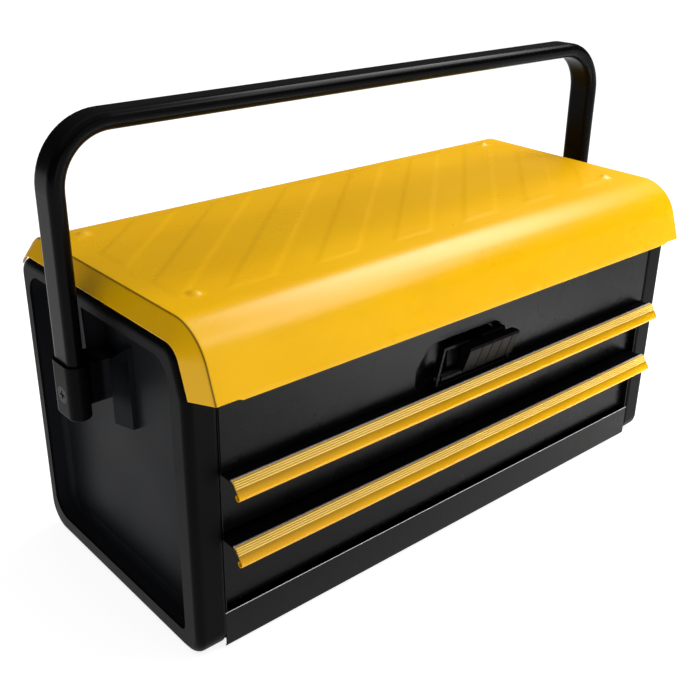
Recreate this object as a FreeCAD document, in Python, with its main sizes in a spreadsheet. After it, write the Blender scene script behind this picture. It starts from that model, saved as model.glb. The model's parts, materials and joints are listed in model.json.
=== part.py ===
import FreeCAD, Part
import math
import os
import Sketcher
from FreeCAD import Vector

# Steel tool case with moulded end caps, a hinged lid, two drawers and a folding handle.
# Millimetres. X runs along the case, the front looks along -Y, Z is up, the caps stand on Z = 0.
# Every piece is drawn about the middle of the end caps' depth, then placed case_shift along Y.

doc = FreeCAD.newDocument("ToolCase")
sheet = doc.addObject("Spreadsheet::Sheet", "Sizes")
nodes = []


class Size:
    # A length known both as a number and as an expression on the sheet.
    def __init__(self, value, text):
        self.value = value
        self.text = text

    def __add__(self, other):
        return joined(self, "+", other)

    def __radd__(self, other):
        return joined(other, "+", self)

    def __sub__(self, other):
        return joined(self, "-", other)

    def __rsub__(self, other):
        return joined(other, "-", self)

    def __mul__(self, other):
        return joined(self, "*", other)

    def __rmul__(self, other):
        return joined(other, "*", self)

    def __truediv__(self, other):
        return joined(self, "/", other)

    def __neg__(self):
        return joined(0, "-", self)


def as_size(value):
    return value if isinstance(value, Size) else Size(float(value), "(%r)" % float(value))


def joined(left, sign, right):
    first = as_size(left)
    second = as_size(right)
    text = "(%s %s %s)" % (first.text, sign, second.text)
    if sign == "+":
        return Size(first.value + second.value, text)
    if sign == "-":
        return Size(first.value - second.value, text)
    if sign == "*":
        return Size(first.value * second.value, text)
    return Size(first.value / second.value, text)


def size(alias, value):
    cell = "A%d" % (size.row + 1)
    size.row += 1
    sheet.set(cell, str(value))
    sheet.setAlias(cell, alias)
    return Size(float(value), "Sizes." + alias)


size.row = 0

# Case
case_length = size("case_length", 500.0)
gauge = size("sheet_gauge", 0.8)
cap_depth = size("cap_depth", 216.6)
cap_width = size("cap_width", 23.0)
cap_corner = size("cap_corner", 22.0)
cap_edge = size("cap_edge", 6.0)
rim_front = size("rim_front", 17.0)
rim_rear = size("rim_rear", 12.0)
rim_bottom = size("rim_bottom", 15.0)
rim_top = size("rim_top", 11.0)
recess_depth = size("recess_depth", 16.0)
recess_corner = size("recess_corner", 16.0)
ground_gap = size("ground_gap", 5.0)
base_rail_height = size("base_rail_height", 25.0)
base_bend = size("base_bend", 6.0)
wall_drop = size("wall_drop", 4.6)
sheet_setback = size("sheet_setback", 0.3)
back_setback = size("back_setback", 3.3)
panel_low = size("panel_low", 139.6)
panel_drop = size("panel_drop", 12.5)

# Lid
lid_top = size("lid_top", 244.7)
lid_setback = size("lid_setback", 1.5)
lid_flare = size("lid_flare", 9.1)
lid_skirt = size("lid_skirt", 45.2)
lid_overhang = size("lid_overhang", 18.0)
lid_lean = size("lid_lean", 15.9)
lid_drop = size("lid_drop", 13.5)
lid_bend = size("lid_bend", 35.0)
lid_rear_bend = size("lid_rear_bend", 21.0)
flange_front = size("flange_front", 16.7)
flange_rear = size("flange_rear", 3.5)
flange_bend = size("flange_bend", 14.0)
flange_rear_bend = size("flange_rear_bend", 12.0)
flange_tail = size("flange_tail", 5.2)
skirt_gap = size("skirt_gap", 0.8)
lid_gap = size("lid_gap", 0.3)
hem_inset = size("hem_inset", 17.4)
hem_height = size("hem_height", 9.0)
hem_drop = size("hem_drop", 1.3)
emboss = size("emboss_height", 0.7)
stripe_pitch = size("stripe_pitch", 72.0)
stripe_width = size("stripe_width", 36.0)
stripe_front = size("stripe_front", 71.0)
stripe_rear = size("stripe_rear", 84.0)
stripe_lean = size("stripe_lean", 1.07)
dome_inset = size("dome_inset", 27.4)
dome_front = size("dome_front", 65.0)
dome_rear = size("dome_rear", 78.5)
dome_radius = size("dome_radius", 5.5)
dome_height = size("dome_height", 1.5)

# Lid hinge
hinge_inset = size("hinge_inset", 29.0)
hinge_drop = size("hinge_drop", 25.0)
hinge_bite = size("hinge_bite", 0.5)
hinge_barrel = size("hinge_barrel", 3.0)
leaf_offset = size("leaf_offset", 1.0)
hinge_pin_radius = size("hinge_pin_radius", 1.5)
hinge_knuckles = 9
hinge_leaf_drop = size("hinge_leaf_drop", 28.0)
hinge_leaf_rise = size("hinge_leaf_rise", 12.0)
knuckle_gap = size("knuckle_gap", 0.4)
pin_clearance = size("pin_clearance", 0.05)
rivet_radius = size("rivet_radius", 2.6)
rivet_height = size("rivet_height", 1.0)

# Drawers
side_clearance = size("side_clearance", 0.6)
drawer_gap = size("drawer_gap", 1.1)
face_setback = size("face_setback", 5.5)
runner_room = size("runner_room", 16.0)
ledge_gap = size("ledge_gap", 0.8)
tray_gap = size("tray_gap", 16.5)
runner_gap = size("runner_gap", 19.5)
upper_height = size("upper_height", 48.2)
shelf_reach = size("shelf_reach", 15.9)
tray_drop = size("tray_drop", 6.5)
tray_lift = size("tray_lift", 4.5)
ledge_height = size("ledge_height", 3.0)
runner_play = size("runner_play", 0.4)
runner_gauge = size("runner_gauge", 1.2)
pull_wall = size("pull_wall", 1.2)
pull_leg = size("pull_leg", 4.5)
pull_lip = size("pull_lip", 0.6)
pull_nose = size("pull_nose", 7.3)
pull_fall = size("pull_fall", 9.1)
pull_curl = size("pull_curl", 3.9)
flute_depth = size("flute_depth", 0.5)
flute_width = size("flute_width", 1.1)

# Handle
pivot_y = size("pivot_y", 8.5)
pivot_drop = size("pivot_drop", 66.1)
tube_thick = size("tube_thick", 12.0)
tube_wide = size("tube_wide", 25.7)
tube_corner = size("tube_corner", 5.5)
tube_wall = size("tube_wall", 1.5)
hand_gap = size("hand_gap", 91.8)
handle_bend = size("handle_bend", 40.0)
block_proud = size("block_proud", 7.0)
block_below = size("block_below", 9.5)
block_above = size("block_above", 22.5)
socket_wall = size("socket_wall", 2.0)
socket_below = size("socket_below", 17.0)
socket_above = size("socket_above", 23.0)
socket_floor = size("socket_floor", 4.0)
socket_play = size("socket_play", 0.1)
screw_shank = size("screw_shank", 4.0)
screw_head = size("screw_head", 6.5)
screw_head_height = size("screw_head_height", 1.4)
cross_reach = size("cross_reach", 3.2)
cross_width = size("cross_width", 1.4)
cross_depth = size("cross_depth", 1.1)
head_play = size("head_play", 0.3)
swing_gap = size("swing_gap", 0.4)
block_width = size("block_width", 24.0)
block_corner = size("block_corner", 6.0)
rib_width = size("rib_width", 16.5)
rib_fall = size("rib_fall", 5.0)
web_thick = size("web_thick", 3.0)
web_inset = size("web_inset", 1.5)
rib_height = size("rib_height", 9.0)
rib_below = size("rib_below", 27.5)
rib_above = size("rib_above", 21.0)
rib_slant = size("rib_slant", 13.0)
cap_screw_shank = size("cap_screw_shank", 2.0)
cap_screw_head = size("cap_screw_head", 3.7)
cap_screw_grip = size("cap_screw_grip", 10.0)
cap_screw_fall = size("cap_screw_fall", 40.5)

# Latch
well_half = size("well_half", 57.0)
well_top_half = size("well_top_half", 43.0)
well_right = size("well_right", 42.0)
well_top_right = size("well_top_right", 30.5)
well_height = size("well_height", 34.0)
well_depth = size("well_depth", 6.0)
well_floor = size("well_floor", 4.0)
latch_half = size("latch_half", 41.0)
latch_top_half = size("latch_top_half", 33.0)
latch_lift = size("latch_lift", 1.4)
latch_height = size("latch_height", 29.5)
latch_pin_out = size("latch_pin_out", 2.6)
latch_pin_up = size("latch_pin_up", 5.6)
latch_seat_up = size("latch_seat_up", 9.5)
latch_depth = size("latch_depth", 5.0)
latch_frame = size("latch_frame", 2.2)
latch_foot = size("latch_foot", 0.9)
latch_seat_half = size("latch_seat_half", 24.5)
latch_pin_radius = size("latch_pin_radius", 1.5)
lever_barrel = size("lever_barrel", 3.6)
lever_play = size("lever_play", 0.4)
lever_reach = size("lever_reach", 10.7)
lever_rise = size("lever_rise", 20.7)
lever_tip = size("lever_tip", 2.0)
lever_back = size("lever_back", 0.9)
lever_left = size("lever_left", 13.8)
lever_right = size("lever_right", 41.2)
lever_groove = size("lever_groove", 0.9)
lever_groove_depth = size("lever_groove_depth", 0.8)
lever_groove_pitch = size("lever_groove_pitch", 11.0)
post_edge = size("post_edge", 3.0)
recess_edge = size("recess_edge", 5.0)
pull_proud = size("pull_proud", 1.2)
strike_run = size("strike_run", 10.0)
strike_fall = size("strike_fall", 4.0)
hook_half = size("hook_half", 5.0)
hook_slot_half = size("hook_slot_half", 6.5)
hook_rise = size("hook_rise", 14.5)
hook_thick = size("hook_thick", 5.0)
hook_arm = size("hook_arm", 4.0)
hook_gap = size("hook_gap", 0.8)
strike_half = size("strike_half", 14.0)
strike_gap = size("strike_gap", 7.5)
strike_above = size("strike_above", 4.0)
strike_lip = size("strike_lip", 11.0)
strike_back = size("strike_back", 3.0)
strike_flange = size("strike_flange", 20.0)
strike_gauge = size("strike_gauge", 1.5)
spring_gauge = size("spring_gauge", 0.5)
spring_left = size("spring_left", 12.0)
spring_right = size("spring_right", 24.0)

# Places that several pieces share
half = case_length / 2
post_inner = half - cap_width
wall_inner = post_inner - gauge
cap_front = cap_depth / 2
sheet_front = cap_front - sheet_setback
back_outer = cap_front - back_setback
recess_x = half - recess_depth

lid_reach = half - lid_setback
lid_half = lid_reach - lid_flare
lid_low = lid_top - lid_skirt
lid_front_low = cap_front + lid_overhang
lid_front_top = lid_front_low - lid_lean
lid_slope = lid_lean / lid_skirt
flange_low = lid_top - lid_drop
flange_front_top = lid_front_top + lid_slope * lid_drop - flange_front
hem_half = lid_half - hem_inset
dome_x = lid_half - dome_inset

cap_top = flange_low - gauge - lid_gap
cap_rear_corner = flange_rear_bend + 2
pivot_z = cap_top - pivot_drop
cap_shoulder_y = flange_front_top - 1.06 * gauge - 2 * lid_gap
cap_shoulder = flange_bend - gauge - lid_gap
cap_shoulder_z = cap_top - (cap_front - cap_shoulder_y) / lid_slope
wall_top = cap_top - wall_drop
panel_top = wall_top - panel_drop

hinge_half = post_inner - hinge_inset
leaf_face = back_outer + gauge * 1.5
hinge_y = leaf_face + hinge_barrel - hinge_bite
hinge_z = cap_top - hinge_drop
leaf_rear = hinge_y + leaf_offset
lid_rear = leaf_rear + gauge
lid_tail = lid_rear - lid_rear_bend
skirt_low = hinge_z + hinge_barrel + skirt_gap

base_front = cap_front - gauge
base_rail_top = ground_gap + base_rail_height
face_front = sheet_front - face_setback
upper_top = panel_low - drawer_gap
lower_top = upper_top - upper_height - pull_proud - drawer_gap
lower_height = lower_top - base_rail_top - drawer_gap
tray_half = wall_inner - runner_room
ledge_reach = runner_room - runner_gauge - ledge_gap
tray_rear = back_outer - gauge - tray_gap
runner_rear = back_outer - gauge - runner_gap + 2 * ledge_gap

block_outer = half + block_proud
socket_inner = block_outer + swing_gap
handle_half = socket_inner + socket_wall + tube_thick / 2
socket_outer = handle_half + tube_thick / 2 + socket_wall
handle_top = lid_top + hand_gap + tube_thick / 2
socket_low = pivot_z - socket_below
socket_high = pivot_z + socket_above
tube_low = socket_low + socket_floor

latch_low = panel_low + latch_lift
latch_top = latch_low + latch_height
latch_front = sheet_front + latch_depth
latch_pin_y = sheet_front + latch_pin_out
latch_pin_z = latch_low + latch_pin_up
latch_seat_low = latch_low + latch_seat_up
well_low = panel_low + latch_lift
well_face = sheet_front - well_depth
hook_low = latch_pin_z + hook_rise
hook_sweep = latch_pin_z + hook_rise + hook_thick + 9
strike_y = well_face - gauge - strike_gap
strike_bend = hook_low + hook_thick + strike_above
hem_foot = lid_front_low + lid_slope * hem_drop
case_shift = (hem_foot - hinge_y - hinge_barrel) / 2


def register(piece, label):
    piece.Label = label
    nodes.append(piece)
    return piece


def new_body(label):
    body = doc.addObject("PartDesign::Body", label)
    body.setExpression("Placement.Base.y", case_shift.text)
    return register(body, label)


def mirrored(label, source):
    piece = doc.addObject("Part::Mirroring", label)
    piece.Source = source
    piece.Normal = Vector(1, 0, 0)
    return register(piece, label)


def datum(sketch, kind, geometry, point, value):
    number = sketch.addConstraint(Sketcher.Constraint(kind, -1, 1, geometry, point, value.value))
    sketch.setExpression("Constraints[%d]" % number, value.text)


def add_circle(sketch, across, up, radius):
    circle = Part.Circle(Vector(across.value, up.value, 0), Vector(0, 0, 1), radius.value)
    number = sketch.addGeometry(circle, False)
    datum(sketch, "DistanceX", number, 3, across)
    datum(sketch, "DistanceY", number, 3, up)
    index = sketch.addConstraint(Sketcher.Constraint("Radius", number, radius.value))
    sketch.setExpression("Constraints[%d]" % index, radius.text)


def corner_arc(before, corner, after, radius):
    # The two tangent points and the arc of one rounded corner.
    inward = (before - corner).normalize()
    outward = (after - corner).normalize()
    half_angle = math.acos(max(-1.0, min(1.0, inward.dot(outward)))) / 2
    start = corner + inward * (radius / math.tan(half_angle))
    end = corner + outward * (radius / math.tan(half_angle))
    centre = corner + (inward + outward).normalize() * (radius / math.sin(half_angle))
    turns_left = inward.cross(outward).z < 0
    first, second = (start, end) if turns_left else (end, start)
    first_angle = math.atan2(first.y - centre.y, first.x - centre.x)
    second_angle = math.atan2(second.y - centre.y, second.x - centre.x)
    if second_angle < first_angle:
        second_angle += 2 * math.pi
    arc = Part.ArcOfCircle(Part.Circle(centre, Vector(0, 0, 1), radius), first_angle, second_angle)
    return start, end, arc, turns_left


def add_outline(sketch, corners, closed=True):
    # Straight runs between corners given as (across, up) or (across, up, radius).
    corners = [tuple(as_size(value) for value in corner) for corner in corners]
    points = [Vector(corner[0].value, corner[1].value, 0) for corner in corners]
    count = len(corners)
    starts = list(points)
    ends = list(points)
    arcs = {}
    for i, corner in enumerate(corners):
        if len(corner) == 3:
            ends[i], starts[i], arc, left = corner_arc(
                points[i - 1], points[i], points[(i + 1) % count], corner[2].value)
            arcs[i] = (sketch.addGeometry(arc, False), left)
    run_count = count if closed else count - 1
    lines = []
    for i in range(run_count):
        segment = Part.LineSegment(starts[i], ends[(i + 1) % count])
        lines.append(sketch.addGeometry(segment, False))
    for i, corner in enumerate(corners):
        if i in arcs:
            arc, left = arcs[i]
            near, far = (1, 2) if left else (2, 1)
            before, after = lines[i - 1], lines[i]
            sketch.addConstraint(Sketcher.Constraint("Tangent", before, 2, arc, near))
            sketch.addConstraint(Sketcher.Constraint("Tangent", arc, far, after, 1))
            index = sketch.addConstraint(Sketcher.Constraint("Radius", arc, corner[2].value))
            sketch.setExpression("Constraints[%d]" % index, corner[2].text)
            mark = sketch.addGeometry(Part.Point(points[i]), True)
            sketch.addConstraint(Sketcher.Constraint("PointOnObject", mark, 1, before))
            sketch.addConstraint(Sketcher.Constraint("PointOnObject", mark, 1, after))
            place, end = mark, 1
        elif closed or i < run_count:
            if closed or i > 0:
                sketch.addConstraint(Sketcher.Constraint("Coincident", lines[i - 1], 2, lines[i], 1))
            place, end = lines[i], 1
        else:
            place, end = lines[i - 1], 2
        datum(sketch, "DistanceX", place, end, corner[0])
        datum(sketch, "DistanceY", place, end, corner[1])


def new_sketch(body, plane, offset, loops, closed=True):
    # Each loop is an outline, or one (across, up, radius) tuple for a circle.
    sketch = body.newObject("Sketcher::SketchObject", body.Label + "_sketch")
    origin_plane = [part for part in body.Origin.OriginFeatures if part.Role == plane][0]
    sketch.AttachmentSupport = [(origin_plane, "")]
    sketch.MapMode = "FlatFace"
    sketch.setExpression("AttachmentOffset.Base.z", as_size(offset).text)
    for loop in loops:
        if isinstance(loop, tuple):
            add_circle(sketch, *[as_size(value) for value in loop])
        else:
            add_outline(sketch, loop, closed)
    return sketch


planes = {"x": "YZ_Plane", "y": "XZ_Plane", "z": "XY_Plane"}


def prism(body, kind, axis, low, high, loops):
    # A pad or pocket of the loops from low to high along a world axis.
    low = as_size(low)
    high = as_size(high)
    start = -high if axis == "y" else low
    sketch = new_sketch(body, planes[axis], start, loops)
    feature = body.newObject("PartDesign::" + kind, body.Label + "_" + kind.lower())
    feature.Profile = sketch
    feature.setExpression("Length", (high - low).text)
    feature.Reversed = kind == "Pocket"
    body.Tip = feature
    return feature


def add(body, axis, low, high, *loops):
    return prism(body, "Pad", axis, low, high, loops)


def cut(body, axis, low, high, *loops):
    return prism(body, "Pocket", axis, low, high, loops)


def rounded(body, radius, wanted):
    # A fillet on the edges of the body that the test accepts.
    doc.recompute()
    base = body.Tip
    names = []
    for i, edge in enumerate(base.Shape.Edges):
        if wanted(edge):
            names.append("Edge%d" % (i + 1))
    fillet = body.newObject("PartDesign::Fillet", body.Label + "_fillet")
    fillet.Base = (base, names)
    fillet.setExpression("Radius", radius.text)
    body.Tip = fillet
    return fillet


def rectangle(left, low, right, high):
    return [(left, low), (right, low), (right, high), (left, high)]


def touches(edge, axis, place):
    # Whether an edge lies in the plane at that place along an axis.
    box = edge.BoundBox
    low, high = {"x": (box.XMin, box.XMax), "y": (box.YMin, box.YMax), "z": (box.ZMin, box.ZMax)}[axis]
    return abs(low - place) < 0.01 and abs(high - place) < 0.01


def cylinder(label, axis, radius, places, low, high):
    # Round bars along an axis, one at each (first, second) place across it.
    turn = {"x": (Vector(0, 1, 0), 90), "y": (Vector(1, 0, 0), -90), "z": (Vector(0, 0, 1), 0)}[axis]
    names = {"x": "yz", "y": "xz", "z": "xy"}[axis]
    bars = []
    for first, second in places:
        bar = doc.addObject("Part::Cylinder", label)
        bar.Placement.Rotation = FreeCAD.Rotation(*turn)
        bar.setExpression("Radius", as_size(radius).text)
        bar.setExpression("Height", (as_size(high) - as_size(low)).text)
        where = {axis: as_size(low), names[0]: as_size(first), names[1]: as_size(second)}
        where["y"] = where["y"] + case_shift
        for name, value in where.items():
            bar.setExpression("Placement.Base." + name, value.text)
        bars.append(bar)
    return bars


# End caps: a deep ring round a recessed panel, with the handle's pivot block and a rib
cap_screw_places = [
    (-(sheet_front - 6.5), wall_top - cap_screw_fall),
    (back_outer - 5.2, wall_top - cap_screw_fall),
    (-(cap_front - 34), ground_gap + gauge + cap_screw_head + 0.3),
    (cap_front - 34, ground_gap + gauge + cap_screw_head + 0.3),
]


def make_end_cap(label):
    body = new_body(label)
    add(body, "x", -half, -post_inner, [
        (-cap_front, 0, cap_corner), (cap_front, 0, cap_corner),
        (cap_front, cap_top, cap_rear_corner), (-cap_shoulder_y, cap_top, cap_shoulder),
        (-cap_front, cap_shoulder_z, cap_shoulder)])
    rounded(body, cap_edge, lambda edge: touches(edge, "x", -half.value))
    rounded(body, post_edge, lambda edge: touches(edge, "x", -post_inner.value)
            and touches(edge, "y", -cap_front.value))
    recess_front = -(cap_front - rim_front)
    recess_rear = cap_front - rim_rear
    recess_top = cap_top - rim_top
    recess = [
        (recess_front, rim_bottom, recess_corner), (recess_rear, rim_bottom, recess_corner),
        (recess_rear, recess_top, recess_corner), (recess_front, recess_top, recess_corner)]
    cut(body, "x", -half, -recess_x, recess)
    rounded(body, recess_edge, lambda edge: touches(edge, "x", -recess_x.value))
    block_front = pivot_y - block_width / 2
    block_rear = pivot_y + block_width / 2
    add(body, "x", -block_outer, -recess_x, [
        (block_front, pivot_z - block_below, block_corner), (block_rear, pivot_z - block_below, block_corner),
        (block_rear, pivot_z + block_above), (block_front, pivot_z + block_above)])
    add(body, "y", block_rear - web_thick, block_rear,
        rectangle(-half + web_inset, pivot_z + block_above, -recess_x, recess_top))
    rib_front = block_front - rib_width
    rib_top = pivot_z + rib_above
    rib_outer = -recess_x - rib_height
    add(body, "x", rib_outer, -recess_x, [
        (rib_front, pivot_z - rib_below), (block_front, pivot_z - rib_below),
        (block_front, rib_top), (rib_front, rib_top + rib_slant)])
    # The rib falls away towards the front.
    cut(body, "z", pivot_z - rib_below - 1, rib_top + rib_slant + 1, [
        (rib_outer, block_front), (rib_outer - 1, block_front), (rib_outer - 1, rib_front - 1),
        (rib_outer + rib_fall + rib_fall / rib_width, rib_front - 1)])
    cut(body, "x", -block_outer, -recess_x, (pivot_y, pivot_z, screw_shank + pin_clearance))
    cut(body, "x", -post_inner - cap_screw_grip, -post_inner, *[
        (y, z, cap_screw_shank + pin_clearance) for y, z in cap_screw_places])
    return body


end_cap_left = make_end_cap("end_cap_left")
mirrored("end_cap_right", end_cap_left)

# Screws that hold a cap to its steel wall, driven from inside the case
wall_hole = cap_screw_shank + 0.3


def make_cap_screws(label):
    shanks = cylinder(label + "_shank", "x", cap_screw_shank, cap_screw_places,
                      -post_inner - cap_screw_grip + 1, -wall_inner)
    heads = cylinder(label + "_head", "x", cap_screw_head, cap_screw_places,
                     -wall_inner, -wall_inner + gauge * 2)
    screws = []
    for shank, head in zip(shanks, heads):
        screw = doc.addObject("Part::Fuse", label + "_screw")
        screw.Base = shank
        screw.Tool = head
        screws.append(screw)
    group = doc.addObject("Part::Compound", label)
    group.Links = screws
    return register(group, label)


mirrored("cap_screws_right", make_cap_screws("cap_screws_left"))


# Steel walls, floor, back and front
def make_side_wall(label):
    body = new_body(label)
    add(body, "x", -post_inner, -wall_inner,
        [(-sheet_front + gauge, ground_gap, base_bend), (back_outer - gauge, ground_gap),
         (back_outer - gauge, wall_top), (-sheet_front + gauge, wall_top)],
        *[(y, z, wall_hole) for y, z in cap_screw_places])
    return body


mirrored("side_wall_right", make_side_wall("side_wall_left"))


def make_base_pan():
    body = new_body("base_pan")
    inner = base_front - gauge
    add(body, "x", -wall_inner, wall_inner, [
        (-base_front, ground_gap, base_bend), (back_outer - gauge, ground_gap),
        (back_outer - gauge, ground_gap + gauge), (-inner, ground_gap + gauge, base_bend - gauge),
        (-inner, base_rail_top - gauge), (-sheet_front + 1, base_rail_top - gauge),
        (-sheet_front + 1, base_rail_top), (-base_front, base_rail_top)])


make_base_pan()


def make_back_panel():
    body = new_body("back_panel")
    lip = 8 * gauge
    inner = back_outer - gauge
    add(body, "x", -post_inner, post_inner, [
        (inner, ground_gap), (back_outer, ground_gap), (back_outer, wall_top + gauge),
        (inner - lip, wall_top + gauge), (inner - lip, wall_top), (inner, wall_top)])


make_back_panel()


def well_outline(shrink):
    # Wide at the foot and narrow at the top, drawn in by the wall's slope; the lever hides its right end.
    return [
        (-(well_half - shrink), well_low + shrink / 2, well_height / 6),
        (well_right - shrink, well_low + shrink / 2, well_height / 6),
        (well_right - shrink, well_low + well_height / 2, well_height / 3),
        (well_top_right - shrink / 2, well_low + well_height - shrink, well_height / 3),
        (-(well_top_half - shrink / 2), well_low + well_height - shrink, well_height / 3),
        (-(well_half - shrink), well_low + well_height / 2, well_height / 3)]


def loft(body, kind, sections):
    # A ruled loft through (axis, place, outline) sections.
    sketches = [new_sketch(body, planes[axis], -place if axis == "y" else place, [outline])
                for axis, place, outline in sections]
    feature = body.newObject("PartDesign::" + kind, body.Label + "_" + kind.lower())
    feature.Profile = sketches[0]
    feature.Sections = sketches[1:]
    feature.Ruled = True
    body.Tip = feature
    return feature


def make_front_panel():
    body = new_body("front_panel")
    inner = sheet_front - gauge
    add(body, "y", -sheet_front, -inner,
        rectangle(-wall_inner, panel_low, wall_inner, panel_top))
    loft(body, "AdditiveLoft", [
        ("y", -inner, well_outline(-gauge)),
        ("y", -(inner - well_depth), well_outline(well_floor - gauge))])
    loft(body, "SubtractiveLoft", [
        ("y", -sheet_front, well_outline(as_size(0))),
        ("y", -(sheet_front - well_depth), well_outline(well_floor))])
    cut(body, "y", -sheet_front, -(inner - well_depth - 1),
        rectangle(-hook_slot_half, hook_low - 3, hook_slot_half, hook_sweep))


make_front_panel()


def make_tray_floor():
    body = new_body("tray_floor")
    add(body, "z", panel_low, panel_low + gauge,
        rectangle(-wall_inner, -sheet_front + gauge, wall_inner, back_outer - gauge))


make_tray_floor()


# Drawers and the runners that carry them
def make_runner(label, drawer_top):
    body = new_body(label)
    low = drawer_top - tray_drop - ledge_height - runner_play
    high = drawer_top - tray_drop + runner_play
    tip = -(wall_inner - runner_room + 3)
    web = -(wall_inner - runner_gauge)
    add(body, "y", -face_front + gauge * 3, runner_rear, [
        (-wall_inner, low - runner_gauge), (tip, low - runner_gauge), (tip, low), (web, low),
        (web, high), (tip, high), (tip, high + runner_gauge), (-wall_inner, high + runner_gauge)])
    return body


def make_tray(label, drawer_top, drawer_height):
    body = new_body(label)
    front = -face_front + gauge
    rear = tray_rear
    low = drawer_top - drawer_height + tray_lift
    top = drawer_top - tray_drop
    add(body, "z", low, top, rectangle(-tray_half, front, tray_half, rear))
    for side in (-1, 1):
        edge = [side * tray_half, side * (tray_half + ledge_reach)]
        left, right = edge if side > 0 else edge[::-1]
        add(body, "z", top - ledge_height, top, rectangle(left, front + 2 * gauge, right, rear))
    cut(body, "z", low + gauge, top,
        rectangle(-tray_half + gauge, front + gauge, tray_half - gauge, rear - gauge))


def make_face(label, drawer_top, drawer_height):
    body = new_body(label)
    reach = wall_inner - side_clearance
    low = drawer_top - drawer_height
    add(body, "x", -reach, reach, [
        (-face_front, low), (-face_front + gauge, low), (-face_front + gauge, drawer_top),
        (-face_front - shelf_reach, drawer_top), (-face_front - shelf_reach, drawer_top - gauge),
        (-face_front, drawer_top - gauge)])


def make_pull(label, drawer_top):
    body = new_body(label)
    reach = wall_inner - side_clearance
    edge = -face_front - shelf_reach
    top = drawer_top + pull_proud
    crest = (edge - pull_lip, top)
    nose = (crest[0] - pull_nose, top - pull_fall)
    sole = nose[1] - pull_curl
    slope = [crest]
    for place in (0.2, 0.42, 0.64):
        middle = (crest[0] - pull_nose * place, crest[1] - pull_fall * place)
        half_width = flute_width / 2
        slope.append((middle[0] + half_width * 0.62, middle[1] + half_width * 0.78))
        slope.append((middle[0] + flute_depth * 0.78, middle[1] - flute_depth * 0.62))
        slope.append((middle[0] - half_width * 0.62, middle[1] - half_width * 0.78))
    under = drawer_top - gauge
    add(body, "x", -reach, reach, [(edge, top)] + slope + [
        nose, (nose[0] + pull_wall, sole + pull_wall / 3), (nose[0] + pull_wall * 4, sole),
        (nose[0] + pull_wall * 6, sole + pull_curl * 0.6),
        (nose[0] + pull_wall * 5.2, sole + pull_curl * 0.6 + pull_wall * 0.6),
        (nose[0] + pull_wall * 3.8, sole + pull_wall), (nose[0] + pull_wall * 2, sole + pull_wall * 1.3),
        (nose[0] + pull_wall * 1.3, nose[1] - pull_wall / 4), (crest[0] + pull_wall * 0.1, under - pull_wall),
        (edge + pull_leg, under - pull_wall), (edge + pull_leg, under), (edge, under)])


for name, drawer_top, drawer_height in (
        ("upper", upper_top, upper_height), ("lower", lower_top, lower_height)):
    runner = make_runner("runner_%s_left" % name, drawer_top)
    mirrored("runner_%s_right" % name, runner)
    make_tray("drawer_%s_tray" % name, drawer_top, drawer_height)
    make_face("drawer_%s_face" % name, drawer_top, drawer_height)
    make_pull("drawer_%s_pull" % name, drawer_top)


# Lid: a pressed sheet whose ends flare out to the caps
def lid_section(inset, flared, below):
    # Outline across the lid, drawn in by inset, at a flared end or along the middle.
    none = as_size(0)
    drop = (lid_drop if flared else none) + inset
    inward = (flange_front if flared else none) + inset * 1.06
    rear = lid_rear - (flange_rear if flared else none) - inset
    front_top = lid_front_top + lid_slope * drop - inward
    front_low = lid_front_low + lid_slope * below - inward
    bend = (flange_bend if flared else lid_bend) - inset
    rear_bend = (flange_rear_bend if flared else lid_rear_bend) - inset
    low = lid_low - below
    top = lid_top - drop
    return [(-front_low, low), (rear, low), (rear, top, rear_bend), (-front_top, top, bend)]


def add_dome(body, across, along):
    # A low pressed dome, turned about its own upright axis.
    sketch = new_sketch(body, "XZ_Plane", -along, [[
        (0, -gauge / 2), (dome_radius, -gauge / 2), (dome_radius, 0),
        (dome_radius * 0.6, dome_height, dome_height), (0, dome_height)]])
    sketch.setExpression("AttachmentOffset.Base.x", across.text)
    sketch.setExpression("AttachmentOffset.Base.y", lid_top.text)
    dome = body.newObject("PartDesign::Revolution", "lid_dome")
    dome.Profile = sketch
    dome.ReferenceAxis = (sketch, ["V_Axis"])
    dome.Angle = 360
    body.Tip = dome


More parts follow.
